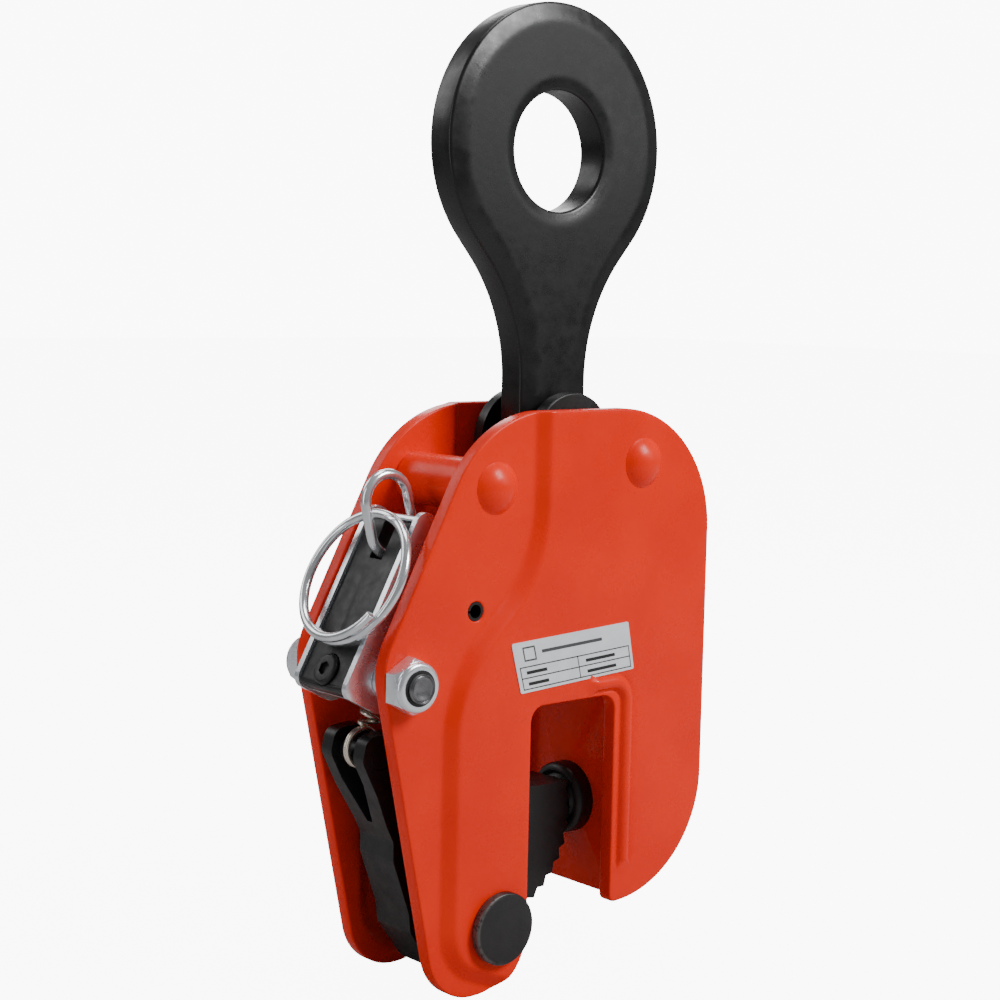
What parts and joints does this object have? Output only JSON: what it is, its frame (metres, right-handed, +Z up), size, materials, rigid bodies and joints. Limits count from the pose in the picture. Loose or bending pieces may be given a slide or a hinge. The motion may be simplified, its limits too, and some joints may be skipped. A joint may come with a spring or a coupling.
{
  "type": "vertical plate lifting clamp",
  "caption": "Vertical plate lifting clamp: forged lifting eye, side plates round a throat, toothed cam and swivelling jaw pad, flip lever with spring and pull ring.",
  "frame": {"origin": "centre of the lifting eye's hole, midway through its thickness", "axes": "+X from the cam towards the fixed jaw, +Y along the eye's hole from the front plate to the rear plate, +Z up the lifting eye"},
  "size_m": [0.3331, 0.145, 0.7305],
  "materials": {
    "orange_powder_coat": "satin gloss orange powder coat with light orange peel",
    "black_oxide_steel": "semi-gloss black baked coat over forged and machined steel",
    "bright_zinc": "bright zinc plating",
    "spring_nickel": "warm bright nickel plated spring steel",
    "black_polymer": "satin black moulded nylon",
    "dark_nylon": "dark grey nylon locking ring",
    "silver_label": "matt silver printed foil"
  },
  "bodies": {
    "lifting_eye": {"lifting_eye": "black_oxide_steel", "eye_cross_pin": "black_oxide_steel", "eye_pin_circlips": "bright_zinc", "eye_bush_front": "black_oxide_steel", "eye_bush_rear": "black_oxide_steel"},
    "frame": {"front_side_plate": "orange_powder_coat", "rear_side_plate": "orange_powder_coat", "left_spacer_tube": "orange_powder_coat", "left_domed_stud": "orange_powder_coat", "right_domed_stud": "orange_powder_coat", "right_collar_front": "orange_powder_coat", "right_collar_rear": "orange_powder_coat", "roll_pin": "black_oxide_steel", "jaw_block": "orange_powder_coat", "rating_plate": "silver_label", "cam_pin": "black_oxide_steel", "cam_pin_cap": "black_oxide_steel", "cam_bush_front": "black_oxide_steel", "cam_bush_rear": "black_oxide_steel", "lever_bolt": "black_oxide_steel", "lever_nut_front": "bright_zinc", "lever_nut_rear": "bright_zinc", "nylon_ring_front": "dark_nylon", "nylon_ring_rear": "dark_nylon", "lever_washer_front": "bright_zinc", "lever_washer_rear": "bright_zinc"},
    "jaw_pad": {"fixed_jaw_pad": "black_oxide_steel", "pad_washer": "bright_zinc", "pad_screw": "bright_zinc"},
    "cam": {"cam": "black_oxide_steel", "fork_cross_pin": "black_oxide_steel"},
    "links": {"link_plate_front": "black_oxide_steel", "link_plate_rear": "black_oxide_steel", "link_cross_pin": "black_oxide_steel"},
    "lever": {"lever_channel": "bright_zinc", "lever_core": "black_polymer", "lever_screw": "black_oxide_steel", "spring_anchor_pin": "bright_zinc"},
    "lock_spring": {"lock_spring": "spring_nickel"},
    "chain_link": {"chain_link": "bright_zinc"},
    "split_ring": {"split_ring": "bright_zinc"}
  },
  "joints": [
    {"name": "frame_slide", "type": "slide", "parent": "lifting_eye", "child": "frame", "axis": [0, 0, 1], "range_m": [0, 0.0753]},
    {"name": "cam_hinge", "type": "hinge", "parent": "frame", "child": "cam", "pos_m": [-0.085, 0, -0.57], "axis": [0, -1, 0], "range_deg": [0, 70]},
    {"name": "link_swing", "type": "hinge", "parent": "lifting_eye", "child": "links", "pos_m": [0, 0, -0.219], "axis": [0, 1, 0], "range_deg": [0, 5.7]},
    {"name": "lever_flip", "type": "hinge", "parent": "frame", "child": "lever", "pos_m": [-0.171, 0, -0.38], "axis": [0, -1, 0], "range_deg": [0, 193]},
    {"name": "spring_hook", "type": "hinge", "parent": "cam", "child": "lock_spring", "pos_m": [-0.17, 0, -0.438], "axis": [0, -1, 0], "range_deg": [-70, 0], "deforming": ["lock_spring"]},
    {"name": "pad_swivel", "type": "hinge", "parent": "frame", "child": "jaw_pad", "pos_m": [0.04, 0, -0.502], "axis": [1, 0, 0], "continuous": true},
    {"name": "chain_link_swing", "type": "hinge", "parent": "lever", "child": "chain_link", "pos_m": [-0.13772, 0, -0.2701], "axis": [0, -1, 0], "range_deg": [-80, 0]},
    {"name": "split_ring_swing", "type": "hinge", "parent": "chain_link", "child": "split_ring", "pos_m": [-0.15379, 0, -0.26596], "axis": [0, -1, 0], "range_deg": [-145, 0]}
  ],
  "couplings": [
    {"joint": "chain_link_swing", "follows": "frame_slide", "rad_per_m": -18.541},
    {"joint": "split_ring_swing", "follows": "frame_slide", "rad_per_m": -33.605},
    {"joint": "cam_hinge", "follows": "frame_slide", "rad_per_m": 16.223},
    {"joint": "link_swing", "follows": "frame_slide", "rad_per_m": 1.321},
    {"joint": "lever_flip", "follows": "frame_slide", "rad_per_m": 44.73},
    {"joint": "spring_hook", "follows": "frame_slide", "rad_per_m": -16.223}
  ]
}
